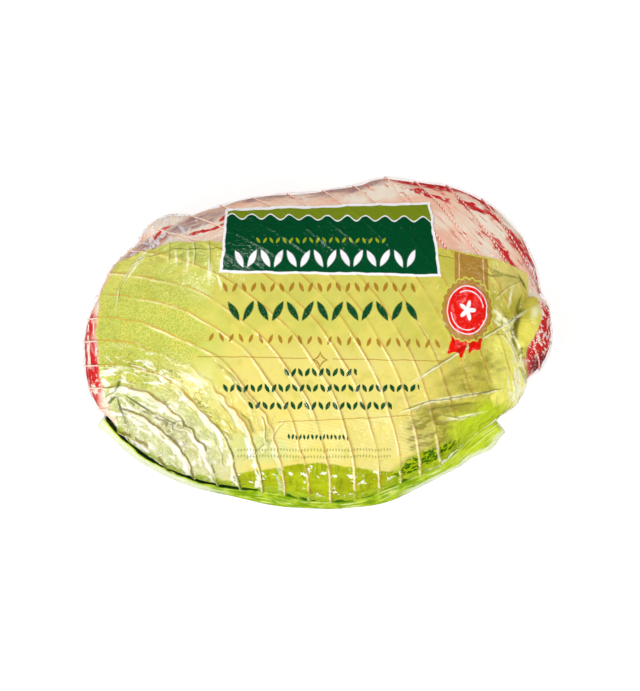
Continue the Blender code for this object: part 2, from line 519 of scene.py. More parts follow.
# The net: thin twine of white cotton with a red thread laid in, stretched round the leg in
# rings. Each ring runs over the meat and under the film, and cuts a little into the fat.
TWINE_RADIUS = 0.36 * MM
TWINE_LAY = 2.2 * MM
TWINE_SINK = 0.40 * MM
UNDER_SINK = 0.5 * MM
TWINE_STEPS = 340
TWINE_SIDES = 6
TWINE_WHITE = linear(252, 226, 208)
TWINE_RED = linear(228, 40, 36)


def cord_path(circle):
    """The closed line of one cord over the top of the leg and back underneath."""
    radius = np.array((circle,))
    (start,), (end,) = circle_spans(radius)
    way = np.linspace(0, 2, 1200, endpoint=False)
    bearing = start + (end - start) * (1 - np.cos(math.pi * way)) / 2
    x, y = strayed(*on_circle(circle, bearing))
    share = np.clip(outline_share(x, y), 0, 1)
    top = WIDEST_HEIGHT + (CROWN_HEIGHT - WIDEST_HEIGHT) * np.sqrt(1 - share ** DOME_POWER)
    out = np.clip((share - FOOT_SHARE) / (1 - FOOT_SHARE), 0, 1)
    low = WIDEST_HEIGHT * (1 - np.sqrt(1 - out * out))
    line = np.stack((x, y, np.where(way <= 1, top, low)), axis=1)
    line = bulge(line, 4 * MM)
    sides = np.linalg.norm(np.roll(line, -1, axis=0) - line, axis=1)
    walked = np.concatenate(((0,), np.cumsum(sides)))
    stops = np.linspace(0, walked[-1], TWINE_STEPS, endpoint=False)
    closed = np.concatenate((line, line[:1]))
    return np.stack([np.interp(stops, walked, closed[:, k]) for k in range(3)], axis=1), walked[-1]


def twine_mesh():
    """Every cord as a sheet rolled into a ring, and then laid along the cord's path."""
    rings = bmesh.new()
    for number in range(len(CORD_RADII)):
        sheet = bmesh.ops.create_grid(rings, x_segments=TWINE_STEPS, y_segments=TWINE_SIDES, size=1)
        for vertex in sheet["verts"]:
            turn, roll = vertex.co.x * math.pi, vertex.co.y * math.pi
            reach = 4 + math.cos(roll)
            height = 10 * number + math.sin(roll)
            vertex.co = (reach * math.cos(turn), reach * math.sin(turn), height)
    bmesh.ops.remove_doubles(rings, verts=rings.verts, dist=1e-4)
    bmesh.ops.recalc_face_normals(rings, faces=rings.faces)
    mesh = bpy.data.meshes.new("net_twine")
    rings.to_mesh(mesh)
    rings.free()
    rolled = read_points(mesh)
    number = np.rint(rolled[:, 2] / 10).astype(int)
    turn = np.arctan2(rolled[:, 1], rolled[:, 0]) / (2 * math.pi)
    stop = np.rint(turn * TWINE_STEPS).astype(int) % TWINE_STEPS
    roll = np.arctan2(rolled[:, 2] - 10 * number, np.hypot(rolled[:, 0], rolled[:, 1]) - 4)
    paths, outs, sides, laps = [], [], [], []
    for circle in CORD_RADII:
        path, length = cord_path(circle)
        ahead = np.roll(path, -1, axis=0) - np.roll(path, 1, axis=0)
        ahead /= np.linalg.norm(ahead, axis=1)[:, None]
        out = path - HEART
        out -= (out * ahead).sum(axis=1)[:, None] * ahead
        out /= np.linalg.norm(out, axis=1)[:, None]
        sunk = TWINE_SINK + UNDER_SINK * (1 - smooth_step(5 * MM, 25 * MM, path[:, 2]))
        paths.append(path - out * sunk[:, None])
        outs.append(out)
        sides.append(np.cross(ahead, out))
        laps.append(length / TWINE_LAY)
    paths, outs, sides, laps = (np.array(part) for part in (paths, outs, sides, laps))
    arm = np.cos(roll)[:, None] * outs[number, stop] + np.sin(roll)[:, None] * sides[number, stop]
    points = paths[number, stop] + TWINE_RADIUS * arm
    points[:, 2] = np.maximum(points[:, 2], 0.2 * MM)
    write_points(mesh, points)
    lay = mesh.attributes.new("twine_lay", "FLOAT_VECTOR", "POINT")
    spots = np.stack((np.cos(roll), np.sin(roll), stop / TWINE_STEPS * laps[number]), axis=1)
    lay.data.foreach_set("vector", spots.ravel())
    return mesh


def twine_paint():
    """White twine with a red stripe that winds round it once a lay."""
    paint = Paint("cotton_twine")
    spot = paint.node("ShaderNodeAttribute", {"attribute_name": "twine_lay"}, (), "Vector")
    out, side, laps = paint.parts(spot)
    angle = laps * (2 * math.pi)
    stripe = out * angle.math("COSINE") + side * angle.math("SINE")
    x, y, z = paint.place()
    fuzz = paint.grain(x, y, z, 0.5, 2)
    faded = paint.ramp(paint.grain(x, y, z, 18, 2), 0.30, 0.52) * paint.ramp(x, 30, 62)
    red = paint.ramp(stripe + (fuzz - 0.5) * 0.3, 0.15, 0.4) * (0.15 + 0.85 * faded)
    bump = paint.node("ShaderNodeBump", (), {"Strength": 0.6, "Distance": 0.2 * MM, "Height": fuzz})
    colour = paint.mix(red, TWINE_WHITE, TWINE_RED)
    paint.set(Base_Color=colour, Roughness=0.7 + 0.15 * fuzz, Normal=bump)
    return paint.material


make_piece("net_twine", twine_mesh(), twine_paint())


# The film bag: clear shrink film with translucent yellow-green ink printed on its front,
# drawn down on the meat by a vacuum. It stands up in a ridge over each cord, crumples
# where it had too much room, and folds over itself at the chump end.
FILM_STATIONS = 400
FILM_OVER = 290
CORD_OFFSETS = MM * np.array((-2.2, -1.3, -0.75, -0.35, 0, 0.35, 0.75, 1.3, 2.2))
FILM_RING_GAP = 1.7 * MM
FILM_BLEND = 5 * MM
FILM_DEPTH = 0.45 * MM
CORD_CLEARANCE = 0.6 * MM
RIDGE_HEIGHT = 0.95 * MM
RIDGE_WIDTH = 0.7 * MM
PRINT_WRAP_HEIGHT = 34 * MM

# Creases of the film, seen from above in millimetres: line, half width and height. A
# negative height is a valley.
CREASES = (
    (((105, 17.2), (96, 11.2), (86, 5.2), (72, -3), (56, -13), (44, -22)), 0.9, 1.4),
    (((87, 20), (93.5, 7), (100, -5), (103, -19), (102, -30)), 0.9, 1.6),
    (((88.5, 21), (95, 8), (101.5, -4), (104.6, -18), (103.6, -28)), 0.7, -1.0),
    (((86, 21), (91, 13), (98, 7), (100, -1), (99.5, -13), (103, -25)), 0.7, 1.1),
    (((101.5, 25), (98.6, 17), (98.0, 8), (100.4, -3)), 1.2, -1.6),
    (((84, 3), (91, 3.5), (95.5, -2), (98, -10), (97.5, -16)), 0.7, 0.6),
    (((38, -35), (54, -28.5), (76, -25), (94, -22.5)), 2.2, 2.0),
    (((50, -33.5), (64, -31.5), (82, -29.5)), 1.0, -0.8),
    (((60, -36), (70, -37.5), (80, -34.5)), 0.9, 0.7),
    (((-98.5, -24), (-90, -30), (-81, -35), (-72, -39), (-60, -50)), 0.9, 1.3),
    (((-98.5, -25.6), (-90, -31.6), (-81, -36.6), (-72, -40.6), (-61, -51)), 0.7, -1.3),
    (((-108, -30), (-103, -26), (-98.5, -24)), 1.2, 1.2),
    (((-108, -33), (-100, -27), (-97, -36), (-93, -44)), 1.0, -0.9),
    (((-73.5, 51), (-73.2, 44), (-73.5, 38)), 0.8, 0.7),
    (((-62, 55), (-60.5, 45), (-61, 36)), 0.9, 0.8),
    (((-54, 52), (-53, 42), (-53.5, 32)), 0.8, 0.7),
    (((-80, 49), (-92, 37), (-98, 27), (-100, 12)), 0.8, 0.6),
    (((78, 38), (85, 33), (93, 33)), 0.6, -0.8),
    (((84, 37), (92, 33.5), (102, 31)), 0.6, -0.8),
    (((86, 20), (93, 27), (103, 31)), 0.8, 0.5),
    (((-38, -60), (-28, -52), (-22, -46)), 0.8, 0.8),
    (((-30, -60), (-24, -49), (-20, -42), (-14, -36)), 0.7, 0.5),
)

# Crumpled patches: centre, half sizes and turn in degrees, then the height of the crumples,
# and their size along and across the cords.
CRUMPLES = (
    ((-72, -42), (50, 28), -28, 1.2, 26, 5),
    ((-92, 0), (26, 34), 0, 0.5, 18, 4.5),
    ((8, -72), (60, 12), 0, 1.0, 10, 8),
    ((54, -62), (20, 11), 25, 1.3, 6, 4),
    ((80, -24), (34, 32), 15, 0.9, 18, 6),
    ((92, 18), (22, 24), 0, 0.9, 12, 7),
    ((-70, 44), (32, 16), 20, 0.9, 8, 5),
    ((76, 58), (44, 24), -35, 0.4, 10, 6),
    ((0, 76), (60, 10), 0, 0.5, 12, 5),
)
GATHER_COUNT = 14
GATHER_SEED = 11
LEAST_CREASE = 1.2
FAR = 9.0


def film_rings():
    near, far = net_reach()
    rings = []
    for circle in CORD_RADII:
        first = circle + CORD_OFFSETS[0]
        start = rings[-1] if rings else near
        rings += between(start, first, FILM_RING_GAP)[1:]
        rings += list(circle + CORD_OFFSETS)
    rings += between(rings[-1], far, FILM_RING_GAP)[1:]
    return np.array(rings)


def line_distance(points, line):
    """Plan distance in millimetres from points to a line, signed, and how far along it.

    It is negative on the side that faces the front left, where the main light stands.
    """
    corners = np.array(line, dtype=float)
    signed = np.full(len(points), FAR)
    along = np.zeros(len(points))
    spot = points[:, :2] / MM
    chord = corners[-1] - corners[0]
    lit = -1 if chord[0] - chord[1] < 0 else 1
    for step, (a, b) in enumerate(zip(corners, corners[1:])):
        way = b - a
        t = np.clip(((spot - a) @ way) / (way @ way), 0, 1)
        off = spot - a - t[:, None] * way
        gap = np.linalg.norm(off, axis=1)
        turn = way[0] * off[:, 1] - way[1] * off[:, 0]
        nearer = gap < np.abs(signed)
        signed = np.where(nearer, np.where(turn * lit > 0, gap, -gap), signed)
        along = np.where(nearer, (step + t) / (len(corners) - 1), along)
    return signed, along


def crease_fields(points, lines):
    """How far the creases lift the film, and where the nearest of them runs.

    The reading on each point is the signed distance to it, and how strong it is there,
    below 0 for a valley.
    """
    lift = np.zeros(len(points))
    signed = np.full(len(points), FAR)
    plain = np.full(len(points), FAR)
    weight = np.zeros(len(points))
    for line, width, height in lines:
        gap, along = line_distance(points, line)
        fade = smooth_step(0, 0.25, along) * smooth_step(0, 0.25, 1 - along)
        wide = max(width, LEAST_CREASE)
        lift += height * MM * fade * np.exp(-(gap / wide) ** 2) * width / wide
        reach = np.abs(gap)
        nearer = reach < plain
        signed = np.where(nearer, gap, signed)
        plain = np.where(nearer, reach, plain)
        weight = np.where(nearer, fade * height, weight)
    return lift, signed, weight


def gathers():
    """Long creases where the slack film at the lower left gathers along the cords."""
    dice = random.Random(GATHER_SEED)
    for _ in range(GATHER_COUNT):
        circle = dice.uniform(38, 92)
        start = dice.uniform(12, 40)
        sweep = dice.uniform(10, 26)
        swing = dice.uniform(-4, 4)
        line = []
        for step in range(6):
            bearing = math.radians(start + sweep * step / 5)
            drift = dice.uniform(-1.1, 1.1)
            x, y = on_circle((circle + swing * step / 5 + drift) * MM, bearing)
            line.append((x / MM, y / MM))
        yield line, 0.7, dice.uniform(0.4, 1.0) * dice.choice((-1, 1, 1))


def patch_share(points, centre, half_sizes, turn):
    """1 in the middle of an oval patch, seen from above, and 0 from its rim outwards."""
    c, s = math.cos(math.radians(turn)), math.sin(math.radians(turn))
    dx, dy = points[:, 0] / MM - centre[0], points[:, 1] / MM - centre[1]
    along, across = (dx * c + dy * s) / half_sizes[0], (dy * c - dx * s) / half_sizes[1]
    return 1 - smooth_step(0.45, 1.0, np.hypot(along, across))


def film_mesh():
    """The film, and two readings on it: where it lies in the print, and how it is formed."""
    mesh, circles = skin_mesh("film_bag", film_rings(), FILM_STATIONS, FILM_OVER, FILM_BLEND)
    points = read_points(mesh)
    normals = read_normals(mesh)
    plan = points / MM
    above = smooth_step(26 * MM, 34 * MM, points[:, 2])
    lying = smooth_step(0.2 * MM, 8 * MM, points[:, 2])
    offsets = circles[:, None] - CORD_RADII
    nearest = np.abs(offsets).argmin(axis=1)[:, None]
    side = np.take_along_axis(offsets, nearest, axis=1)[:, 0]
    tension = 0.95 + 0.6 * noise_at(points, 20 * MM, 3, 1)
    slack = 0.35 * smooth_step(20, -70, plan[:, 0] + plan[:, 1])
    ridge = np.exp(-(side / RIDGE_WIDTH) ** 2)
    stretched = 0.28 + 0.72 * smooth_step(22, -22, plan[:, 1] - 0.15 * plan[:, 0])
    stretched *= 1 - 0.4 * smooth_step(0, 50, plan[:, 0])
    quiet = patch_share(points, (-84, 12), (42, 40), 0)
    quiet = np.maximum(quiet, patch_share(points, (103, 9), (9, 15), -24))
    quiet = np.maximum(quiet, patch_share(points, (86, -38), (24, 17), 24))
    lift = RIDGE_HEIGHT * ridge * np.clip(tension + slack, 0.6, 1.6) * stretched * (1 - 0.75 * quiet)
    step, signed, weight = crease_fields(points, list(CREASES) + list(gathers()))
    lift += step * above
    from_centre = points[:, :2] - NET_CENTRE
    reach = np.hypot(from_centre[:, 0], from_centre[:, 1])
    bearing = np.arctan2(from_centre[:, 1], from_centre[:, 0])
    for seed, (centre, half_sizes, turn, height, length, width) in enumerate(CRUMPLES):
        share = patch_share(points, centre, half_sizes, turn) * smooth_step(0, 12 * MM, points[:, 2])
        found = share > 0
        from_net = math.dist(centre, NET_CENTRE / MM) * MM
        spots = np.stack((bearing * from_net * width / length, reach, points[:, 2] * 0.5), axis=1)
        crest = 1 - 2 * np.abs(noise_at(spots[found], width * MM, 20 + seed, 3))
        lift[found] += height * MM * share[found] * 1.1 * (crest - 0.5)
    lift = lift + 0.3 * MM * noise_at(points, 12 * MM, 5, 2)
    floor = CORD_CLEARANCE * np.exp(-(side / (1.3 * MM)) ** 2) - FILM_DEPTH
    lift = smooth_max(lift, floor, 0.3 * MM)
    points += normals * (lift * lying)[:, None]
    points[:, 2] = np.maximum(points[:, 2], 0)
    write_points(mesh, points)
    out = plan[:, :2] / np.linalg.norm(plan[:, :2], axis=1)[:, None]
    wrap = np.clip(PRINT_WRAP_HEIGHT / MM - plan[:, 2], 0, None)
    spots = np.concatenate((plan[:, :2] + out * wrap[:, None], plan[:, 2:]), axis=1)
    print_map = mesh.attributes.new("print_map", "FLOAT_VECTOR", "POINT")
    print_map.data.foreach_set("vector", spots.ravel())
    rim = (1 - outline_share(points[:, 0], points[:, 1])) * np.hypot(points[:, 0], points[:, 1])
    forms = np.stack((rim / MM, side / MM, np.abs(side) / MM), axis=1)
    form_map = mesh.attributes.new("form_map", "FLOAT_VECTOR", "POINT")
    form_map.data.foreach_set("vector", forms.ravel())
    gaps = np.stack((signed, weight * above, np.zeros(len(points))), axis=1)
    crease_map = mesh.attributes.new("crease_map", "FLOAT_VECTOR", "POINT")
    crease_map.data.foreach_set("vector", gaps.ravel())
    return mesh


def outside(x, y, corners):
    """Millimetres out of a convex shape, negative in it. Its corners go anticlockwise."""
    paint = x.paint
    spot = paint.joined(x, y)
    far = None
    for (ax, ay), (bx, by) in zip(corners, corners[1:] + corners[:1]):
        size = math.hypot(bx - ax, by - ay)
        nx, ny = (by - ay) / size, (ax - bx) / size
        side = paint.dot(spot, (nx, ny, 0)) - (ax * nx + ay * ny)
        far = side if far is None else far.most(side)
    return far


def out_of_oval(x, y, centre, half_x, half_y, turn=0.0):
    spot = x.paint.turned(x.paint.joined(x, y), centre, (half_x, half_y), turn)
    return (x.paint.length(spot) - 1) * min(half_x, half_y)


def printed(gap, soft=0.3):
    """1 where a distance in millimetres is below 0, with an edge that soft."""
    inputs = {0: gap, 1: -soft / 2, 2: soft / 2, 3: 1.0, 4: 0.0}
    return gap.paint.node("ShaderNodeMapRange", (), inputs)


def stroke(gap, half_width):
    """1 on the outline of a shape, given the distance to it."""
    return printed(abs(gap) - half_width)


def span(value, low, high):
    return printed(abs(value - (low + high) / 2) - (high - low) / 2)


def sprigs(x, y, start, end, middle, half_height, pitch, lean, fat):
    """A row of leaves that lean left and right by turns, in place of a line of words."""
    paint = x.paint
    mirrored = (x - start).math("PINGPONG", pitch)
    c, s = math.cos(math.radians(lean)), math.sin(math.radians(lean))
    leaf = paint.joined(mirrored - pitch / 2, y - middle)
    half_width = half_height * fat
    across = paint.dot(leaf, (c / half_width, s / half_width, 0))
    along = paint.dot(leaf, (-s / half_height, c / half_height, 0))
    return printed(along * along + abs(across) - 1, 0.35) * span(x, start, end)


TINT_EDGE = [
    (104, -140), (104, 0), (106.5, 33), (94, 39), (84.5, 41.9), (59.3, 46.8), (-47, 49.7),
    (-71.5, 49.7), (-86.7, 45.2), (-100.5, 39), (-107.5, 26), (-109.8, 6), (-108, -16), (-100, -44), (-70, -140),
]
EAR_OF_TINT = ((101.5, 8.5), 15, 7.6, 68)
# Painted highlights: pale streaks where the film is drawn taut. Centre, half sizes and turn in degrees.
HIGHLIGHT_STREAKS = (
    ((96, 11.4), (12, 1.2), 32),
    ((74, -2), (16, 1.2), 32),
    ((54, -14.5), (13, 0.8), 34),
    ((89, 12.0), (4, 2.2), 60),
    ((95, 22), (1.2, 7), -14),
    ((66, -27.0), (26, 1.0), 9),
    ((72, -36.5), (14, 1.0), 12),
    ((-53, 35), (1.8, 7), 0),
    ((-48.5, 30), (0.9, 6), 10),
    ((-64, 41), (1.0, 8), 0),
    ((-70, 42), (1.0, 6), 0),
    ((-90, 38), (1.2, 14), -36),
)
# Painted shade: dark streaks where the film is pinched into creases.
PINCHED_SHADE_STREAKS = (
    ((-88, -30.5), (13, 0.9), -33),
    ((-72, -39), (9, 0.7), -24),
    ((-99, -21), (5, 1.2), 60),
    ((-103, -29), (6, 1.2), 48),
    ((-98, -32), (1.0, 6), 14),
    ((101, 30), (1.0, 7), 30),
)
PANEL_CORNERS = [(-48, 34.1), (60.3, 32.1), (55.4, 69.3), (-45.6, 66.4)]
PANEL_BORDER = 1.25
SEAL_CENTRE = (73.2, 15.9)
SEAL_HALF = (10.3, 12.2)
SEAL_RIM = 1.22
SEAL_TEETH = 24

TINT_UPPER = linear(206, 201, 94)
TINT_LOWER = linear(226, 212, 120)
TINT_LEFT = linear(204, 209, 100)
TINT_RIGHT = linear(198, 188, 70)
# Lighter tint for the collar fold, partly a painted highlight.
COLLAR_TINT_AND_HIGHLIGHT = linear(238, 232, 112)
# Pale tint, partly a painted sheen.
PALE_TINT_AND_SHEEN = linear(222, 230, 172)
TINT_SHADE = linear(150, 142, 52)
LIME = linear(174, 190, 8)
LIME_DEEP = linear(156, 166, 0)
LEAF_GREEN = linear(52, 104, 2)
RIM_LIME = linear(172, 194, 36)
# Painted shade colour for the creases.
CREASE_SHADE_OLIVE = linear(104, 110, 28)
CORD_OCHRE = linear(216, 152, 64)
# Painted highlight colour for the lit side of the cord ridges.
CORD_HIGHLIGHT = linear(250, 240, 186)
FOREST = linear(2, 72, 38)
MOSS = linear(120, 138, 26)
GOLD = linear(168, 122, 40)
SEAL_RED = linear(226, 20, 6)
PRINT_WHITE = linear(246, 242, 246)


def film_ink(paint, x, y, place, forms, cloud, fine, gathered, pulled):
    """The colour printed on the film, and how much of the film the ink covers."""
    ox, oy, oz, reach, sweep = place
    rim, side, away, gap, weight = forms
    by_cord = paint.fall(away, 3.4, 4.2)
    broad = paint.grain(ox, oy, oz, 26, 2)
    drift = (cloud - 0.5) * 12
    drifted = paint.joined(x + drift, y + drift)

    def soft(centre, half_sizes, turn=0.0, edge=0.6):
        return paint.fall(paint.length(paint.turned(drifted, centre, half_sizes, turn)), 1 - edge, 1.0)

    colour = paint.mix(paint.ramp(-y + (broad - 0.5) * 14, -8, 14), TINT_UPPER, TINT_LOWER)
    colour = paint.mix(paint.ramp(-x + drift + broad * 10, 44, 66), colour, TINT_LEFT)
    colour = paint.mix(paint.ramp(x + drift, 34, 82), colour, TINT_RIGHT)
    mottled = paint.ramp(paint.grain(ox - oy * 0.4, oy, oz, 10, 3, 0.6), 0.44, 0.66)
    colour = paint.mix(mottled * 0.45, colour, linear(232, 214, 104))
    colour = paint.mix(paint.ramp(paint.grain(oy, ox, oz, 7, 3, 0.6), 0.52, 0.72) * 0.4, colour, linear(192, 184, 74))
    colour = paint.mix(soft((-66, -22), (26, 20), -20, 0.8) * 0.8, colour, linear(236, 226, 148))
    colour = paint.mix(soft((-92, 36), (26, 12), 30, 0.8) * 0.7, colour, linear(226, 220, 112))
    colour = paint.mix(soft((96, 33), (22, 11), -20, 0.8) * 0.8, colour, linear(230, 216, 124))
    # Pale tint on the slack lower-left film, partly a painted sheen of the front-left light.
    colour = paint.mix(soft((-74, -48), (50, 24), -28), colour, PALE_TINT_AND_SHEEN)
    colour = paint.mix(soft((-30, -52), (22, 10), -10), colour, linear(210, 212, 132))
    colour = paint.mix(soft((80, -40), (30, 15), 24), colour, linear(186, 204, 40))
    # Lighter tint on the rounded collar fold at the right end, partly a painted highlight.
    colour = paint.mix(soft((94, -14), (14, 28), 8, 0.5), colour, COLLAR_TINT_AND_HIGHLIGHT)
    colour = paint.mix(soft((108, 8), (9, 13), -24, 0.7), colour, linear(222, 214, 92))
    # Painted highlights: pale streaks along the folds of the collar.
    fold = paint.grain(ox + oy * 0.15, oy * 0.22, oz * 0.3, 2.6, 2)
    collar_glints = paint.patch(ox + drift * 0.15, oy, (98.5, -20), (6.5, 17), 4, 0.5)
    colour = paint.mix(collar_glints * paint.ramp(fold, 0.42, 0.52) * 0.85, colour, linear(252, 250, 208))
    slant = paint.grain(ox * 0.34 + oy * 0.08, oy - ox * 0.24, oz * 0.3, 3.0, 3, 0.6)
    # Painted shade: olive-brown shade about the broad ridge at the lower right, and a little by the finger.
    shade = soft((76, -16), (24, 9), 20) * (0.3 + paint.ramp(slant, 0.38, 0.68) * 0.8)
    shade = shade.most(soft((62, -33), (24, 4.5), 6) * (0.5 + 0.5 * paint.ramp(slant, 0.36, 0.52)))
    shade = shade.most(soft((55, -43), (17, 14), 20) * (0.4 + paint.ramp(slant, 0.44, 0.60)))
    shade = shade.most(soft((92, 22), (12, 16), 0) * 0.3)
    colour = paint.mix((shade * 0.8).clamped(), colour, TINT_SHADE)
    speckle = paint.ramp(fine, 0.45, 0.56) * soft((-84, 7), (34, 34), 0, 0.35)
    colour = paint.mix(speckle * 0.6, colour, linear(160, 170, 52))
    hatch = ((y + x * 0.22) * (2 * math.pi / 1.7) + drift * 0.2).math("SINE") * 0.5 + 0.5
    hatched = soft((14, -48), (52, 20), 0, 0.4) * paint.ramp(paint.grain(oy, ox, oz, 12, 2), 0.35, 0.6)
    colour = paint.mix(hatch * hatched * 0.3, colour, linear(240, 236, 180))
    band = outside(x, y, [(-60, -90), (60, -90), (44, -65.5), (-0.5, -58.8), (-40, -64.5)])
    band = printed(band + (cloud - 0.5) * 1.5, 0.8)
    # Painted shade: darker lines in the pleats of the lime band.
    pleat_shade = paint.grain(ox, oy * 0.16, oz * 0.16, 1.8, 3, 0.6)
    lime = paint.mix(paint.ramp(cloud, 0.35, 0.65), LIME_DEEP, LIME)
    lime = paint.mix((paint.fall(pleat_shade, 0.38, 0.48)) * 0.55, lime, linear(112, 132, 0))
    colour = paint.mix(band * 0.97, colour, lime)
    glint = paint.ramp(paint.grain(ox + oy * 0.3, oy * 0.8, oz * 0.8, 4.2, 3, 0.6), 0.60, 0.63)
    colour = paint.mix(band * glint * 0.9, colour, linear(252, 254, 236))
    dark_patch = soft((54, -62), (26, 11), 28, 0.4)
    blotch = paint.grain(ox, oy, oz, 2.6, 3, 0.6)
    colour = paint.mix(dark_patch, colour, paint.mix(paint.ramp(blotch, 0.46, 0.58), LEAF_GREEN, LIME))
    edge = paint.fall(rim + (cloud - 0.5) * 5, 2.4, 3.2)
    lip = paint.fall(rim + (cloud - 0.5) * 1.5, 0.9, 1.4)
    front = edge * paint.ramp(-oy, 36, 46) * (paint.fall(ox, 60, 80))
    colour = paint.mix(front * 0.9, colour, RIM_LIME)
    # Painted highlight: a white line along the film's edge above the right ear.
    beside = lip * paint.ramp(ox, 52, 64) * paint.ramp(-oy, 20, 30) * span(oz, 29, 38)
    colour = paint.mix(beside * 0.8, colour, linear(250, 252, 240))
    # Painted light and shade on the crumpled lower-left film: darker and white patches along the crumples, and dark
    # lines in their creases.
    colour = paint.mix(pulled * paint.ramp(gathered, 0.54, 0.60) * 0.5, colour, linear(168, 178, 84))
    colour = paint.mix(pulled * (paint.fall(gathered, 0.41, 0.45)) * 0.8, colour, linear(255, 255, 246))
    contour = paint.fall(abs(gathered - 0.50), 0.006, 0.020)
    contour = contour * paint.ramp(paint.grain(oy, ox, oz, 6, 2), 0.45, 0.55)
    colour = paint.mix(pulled * contour * 0.75, colour, linear(110, 122, 40))
    patchy = paint.grain(ox, oy, oz, 15, 2)
    wobble = side + (fine - 0.5) * 0.9 + (cloud - 0.5) * 0.8
    corner = paint.ramp(-ox * 0.6 - oy * 1.4, 58, 104) * paint.fall(ox, -36, -10)
    # Cord colour seen through the ink on the side of each cord ridge away from the front-left light, darkened there
    # with painted shade, and olive-brown at the lower-left corner.
    below = span(wobble, 0.1, 0.85) * paint.ramp(patchy + corner * (cloud - 0.45), 0.36, 0.5)
    bare = paint.patch(ox, oy, (106, 9), (12, 16), -24, 0.3).most(soft((86, -36), (24, 17), 24, 0.3))
    below = below * (1 - bare) * by_cord
    colour = paint.mix(below * (0.6 + 0.3 * corner), colour, paint.mix(corner, CORD_OCHRE, linear(122, 120, 40)))
    # Painted glints: white patches on the crumpled facets beside the cords at the lower-left corner.
    facet_glint = span(wobble + (cloud - 0.5) * 2, -3.4, -0.5) * corner * by_cord
    facet_glint = facet_glint * paint.ramp(paint.grain(reach * 0.8, sweep * 0.5, oz * 0.3, 2.8, 2), 0.45, 0.50)
    colour = paint.mix(facet_glint * 0.9, colour, linear(255, 255, 246))
    # Painted highlight: a pale line on the side of each cord ridge that faces the front-left light.
    lit_cord_side = span(wobble, -0.8, 0.1) * paint.ramp(-ox * 0.6 - oy, -20, 40)
    bare = bare.most(paint.patch(ox, oy, (-102, 2), (24, 30), 0, 0.4))
    lit_cord_side = lit_cord_side * (1 - bare) * by_cord * paint.ramp(patchy + (cloud - 0.5) * 0.6, 0.34, 0.6)
    colour = paint.mix(lit_cord_side * 0.8, colour, CORD_HIGHLIGHT)
    thumb = out_of_oval(ox, oy, (105.2, 8.6), 12.5, 6.2, 68) + (cloud - 0.5) * 1.5
    beside = (paint.fall(ox + oy * 0.35, 103, 107)) * paint.ramp(oy, -7, 0)
    # Painted shade in the crease left of the finger lump.
    dent_shade = (paint.fall(abs(thumb - 0.7), 0.3, 1.9)) * beside
    colour = paint.mix(dent_shade * 0.85, colour, linear(96, 92, 16))
    # Painted highlight on the top of the finger lump.
    pale = paint.patch(ox + drift * 0.2, oy, (107.5, 15), (3.4, 5.5), -30, 0.8)
    colour = paint.mix(pale * 0.75, colour, linear(244, 240, 190))
    broken = paint.ramp(paint.grain(oy, oz, ox, 4, 2), 0.34, 0.56)
    # Painted highlights: pale streaks on the taut folds, and the bright double lines of the collar.
    streak = None
    swayed = paint.joined(ox + (cloud - 0.5) * 3, oy + (fine - 0.5) * 0.6)
    for centre, half_sizes, turn in HIGHLIGHT_STREAKS:
        line = paint.fall(paint.length(paint.turned(swayed, centre, half_sizes, turn)), 0.1, 1.0)
        streak = line if streak is None else streak.most(line)
    arc = out_of_oval(ox + (cloud - 0.5) * 2, oy, (80, -24.7), 22.5, 42)
    arcs = (paint.fall(abs(arc), 0.2, 0.8)).most(paint.fall(abs(arc + 2.3), 0.15, 0.6))
    arcs = arcs * paint.ramp(ox, 84, 88) * span(oy, -30, 17) * (0.5 + 0.5 * broken)
    colour = paint.mix((streak.most(arcs) * 1.1).clamped() * 0.85, colour, linear(254, 250, 204))
    # Painted shade: dark lines in the pinched creases.
    pinch_shade = None
    for centre, half_sizes, turn in PINCHED_SHADE_STREAKS:
        line = paint.fall(paint.length(paint.turned(swayed, centre, half_sizes, turn)), 0.1, 1.0)
        pinch_shade = line if pinch_shade is None else pinch_shade.most(line)
    colour = paint.mix((pinch_shade * 1.2).clamped() * 0.85, colour, linear(84, 104, 14))
    ridge, valley = weight.clamped(), (-weight).clamped()
    # Painted light and shade along the creases: a pale highlight on the lit side of each ridge, and dark lines beside
    # ridges and in valleys.
    lit = (paint.fall(abs(gap + 0.35), 0.15, 0.6)) * ridge * broken
    dark = (paint.fall(abs(gap - 0.45), 0.1, 0.42)) * ridge * (1 - broken * 0.4)
    dark = dark.most((paint.fall(abs(gap), 0.15, 0.65)) * valley)
    colour = paint.mix(lit * 0.85, colour, linear(252, 248, 206))
    colour = paint.mix(dark * 0.75, colour, CREASE_SHADE_OLIVE)
    tint = outside(x, y, TINT_EDGE)
    edge_line = stroke(tint + 3.6 + (cloud - 0.5) * 3, 0.16) * paint.ramp(y, 38, 41)
    colour = paint.mix(edge_line * 0.75, colour, linear(70, 84, 30))
    tint = tint.least(out_of_oval(x, y, *EAR_OF_TINT))
    tint = printed(tint + (cloud - 0.5) * 1.6, 0.5) * paint.ramp(oz, 14, 20)
    cover = tint * (0.95 - 0.2 * soft((-74, -50), (50, 24), -28))
    return colour, cover


